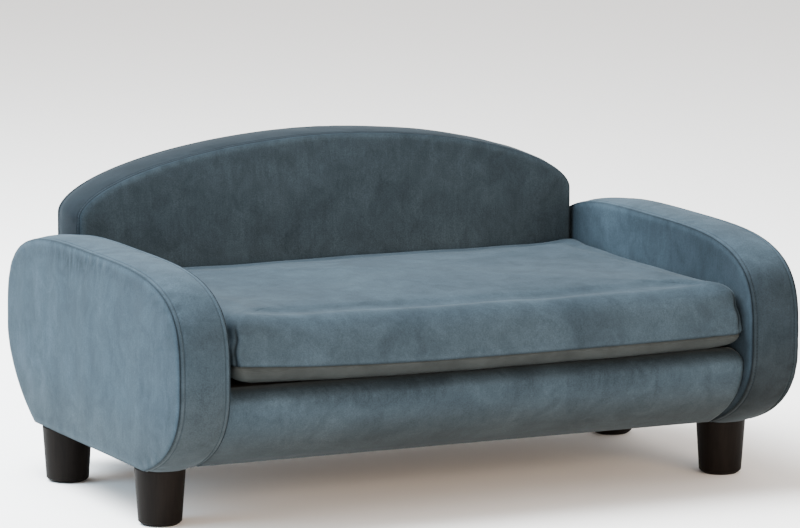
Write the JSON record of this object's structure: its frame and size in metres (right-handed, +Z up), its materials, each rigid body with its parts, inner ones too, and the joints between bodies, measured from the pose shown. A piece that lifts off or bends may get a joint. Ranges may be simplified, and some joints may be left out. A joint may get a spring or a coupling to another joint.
{
  "type": "dog sofa bed",
  "caption": "Small upholstered sofa for a dog: rounded arms, arched back, soft-fronted base, loose zipped seat cushion and tapered legs.",
  "frame": {"origin": "on the floor, midway between the arms and halfway along them; the back stands out 8 mm behind the arms, so the middle of the box lies 4 mm further back", "axes": "+Z up, the front of the sofa faces -Y, +X is to the right of someone who looks at the front"},
  "size_m": [0.838, 0.56, 0.41],
  "materials": {
    "velvet": "short-pile velvet, satin sheen",
    "cushion_velvet": "short-pile velvet, satin sheen",
    "cushion_lining": "matte woven",
    "black_cloth": "matte non-woven",
    "foam": "matte open-cell foam",
    "plywood": "raw",
    "fibreboard": "raw",
    "pine": "raw",
    "stained_wood": "satin lacquer",
    "rubber_pad": "matte",
    "zip_tape": "matte woven",
    "zip_coil": "satin",
    "zip_metal": "satin",
    "steel": "zinc plated"
  },
  "bodies": {
    "sofa": {"left_arm_outer_panel": "velvet", "left_arm_band": "velvet", "left_arm_inner_panel": "velvet", "left_arm_underside": "black_cloth", "left_arm_foam": "foam", "left_arm_edge_strip": "fibreboard", "left_arm_outer_board": "plywood", "left_arm_inner_board": "plywood", "left_arm_spacers": "pine", "right_arm_outer_panel": "velvet", "right_arm_band": "velvet", "right_arm_inner_panel": "velvet", "right_arm_underside": "black_cloth", "right_arm_foam": "foam", "right_arm_edge_strip": "fibreboard", "right_arm_outer_board": "plywood", "right_arm_inner_board": "plywood", "right_arm_spacers": "pine", "back_front_panel": "velvet", "back_band": "velvet", "back_rear_panel": "velvet", "back_underside": "black_cloth", "back_foam": "foam", "back_edge_strip": "fibreboard", "back_front_board": "plywood", "back_rear_board": "plywood", "back_spacers": "pine", "base_front_cover": "velvet", "base_front_roll": "foam", "base_deck_cloth": "black_cloth", "base_deck_pad": "foam", "base_deck": "plywood", "base_front_rail": "pine", "base_rear_rail": "pine", "base_left_rail": "pine", "base_right_rail": "pine", "base_cross_rails": "pine", "base_dust_cover": "black_cloth", "front_left_leg": "stained_wood", "front_right_leg": "stained_wood", "rear_left_leg": "stained_wood", "rear_right_leg": "stained_wood", "leg_pads": "rubber_pad", "leg_hanger_bolts": "steel", "frame_bolts": "steel", "tee_nuts": "steel"},
    "cushion": {"cushion_top_cover": "cushion_velvet", "cushion_underside_cover": "cushion_lining", "cushion_core": "foam", "zip_tapes": "zip_tape", "zip_chain": "zip_coil", "zip_end_stops": "zip_metal"},
    "slider": {"zip_slider": "zip_metal"},
    "pull": {"zip_pull": "zip_metal"}
  },
  "joints": [
    {"name": "cushion_lift", "type": "slide", "parent": "sofa", "child": "cushion", "axis": [0, 0, 1], "range_m": [0, 0.3]},
    {"name": "zip_travel", "type": "slide", "parent": "cushion", "child": "slider", "axis": [-1, 0, 0], "range_m": [0, 0.4602]},
    {"name": "zip_pull_swing", "type": "hinge", "parent": "slider", "child": "pull", "pos_m": [0.2301, 0.19355, 0.1973], "axis": [0, 0, -1], "range_deg": [0, 15]}
  ]
}
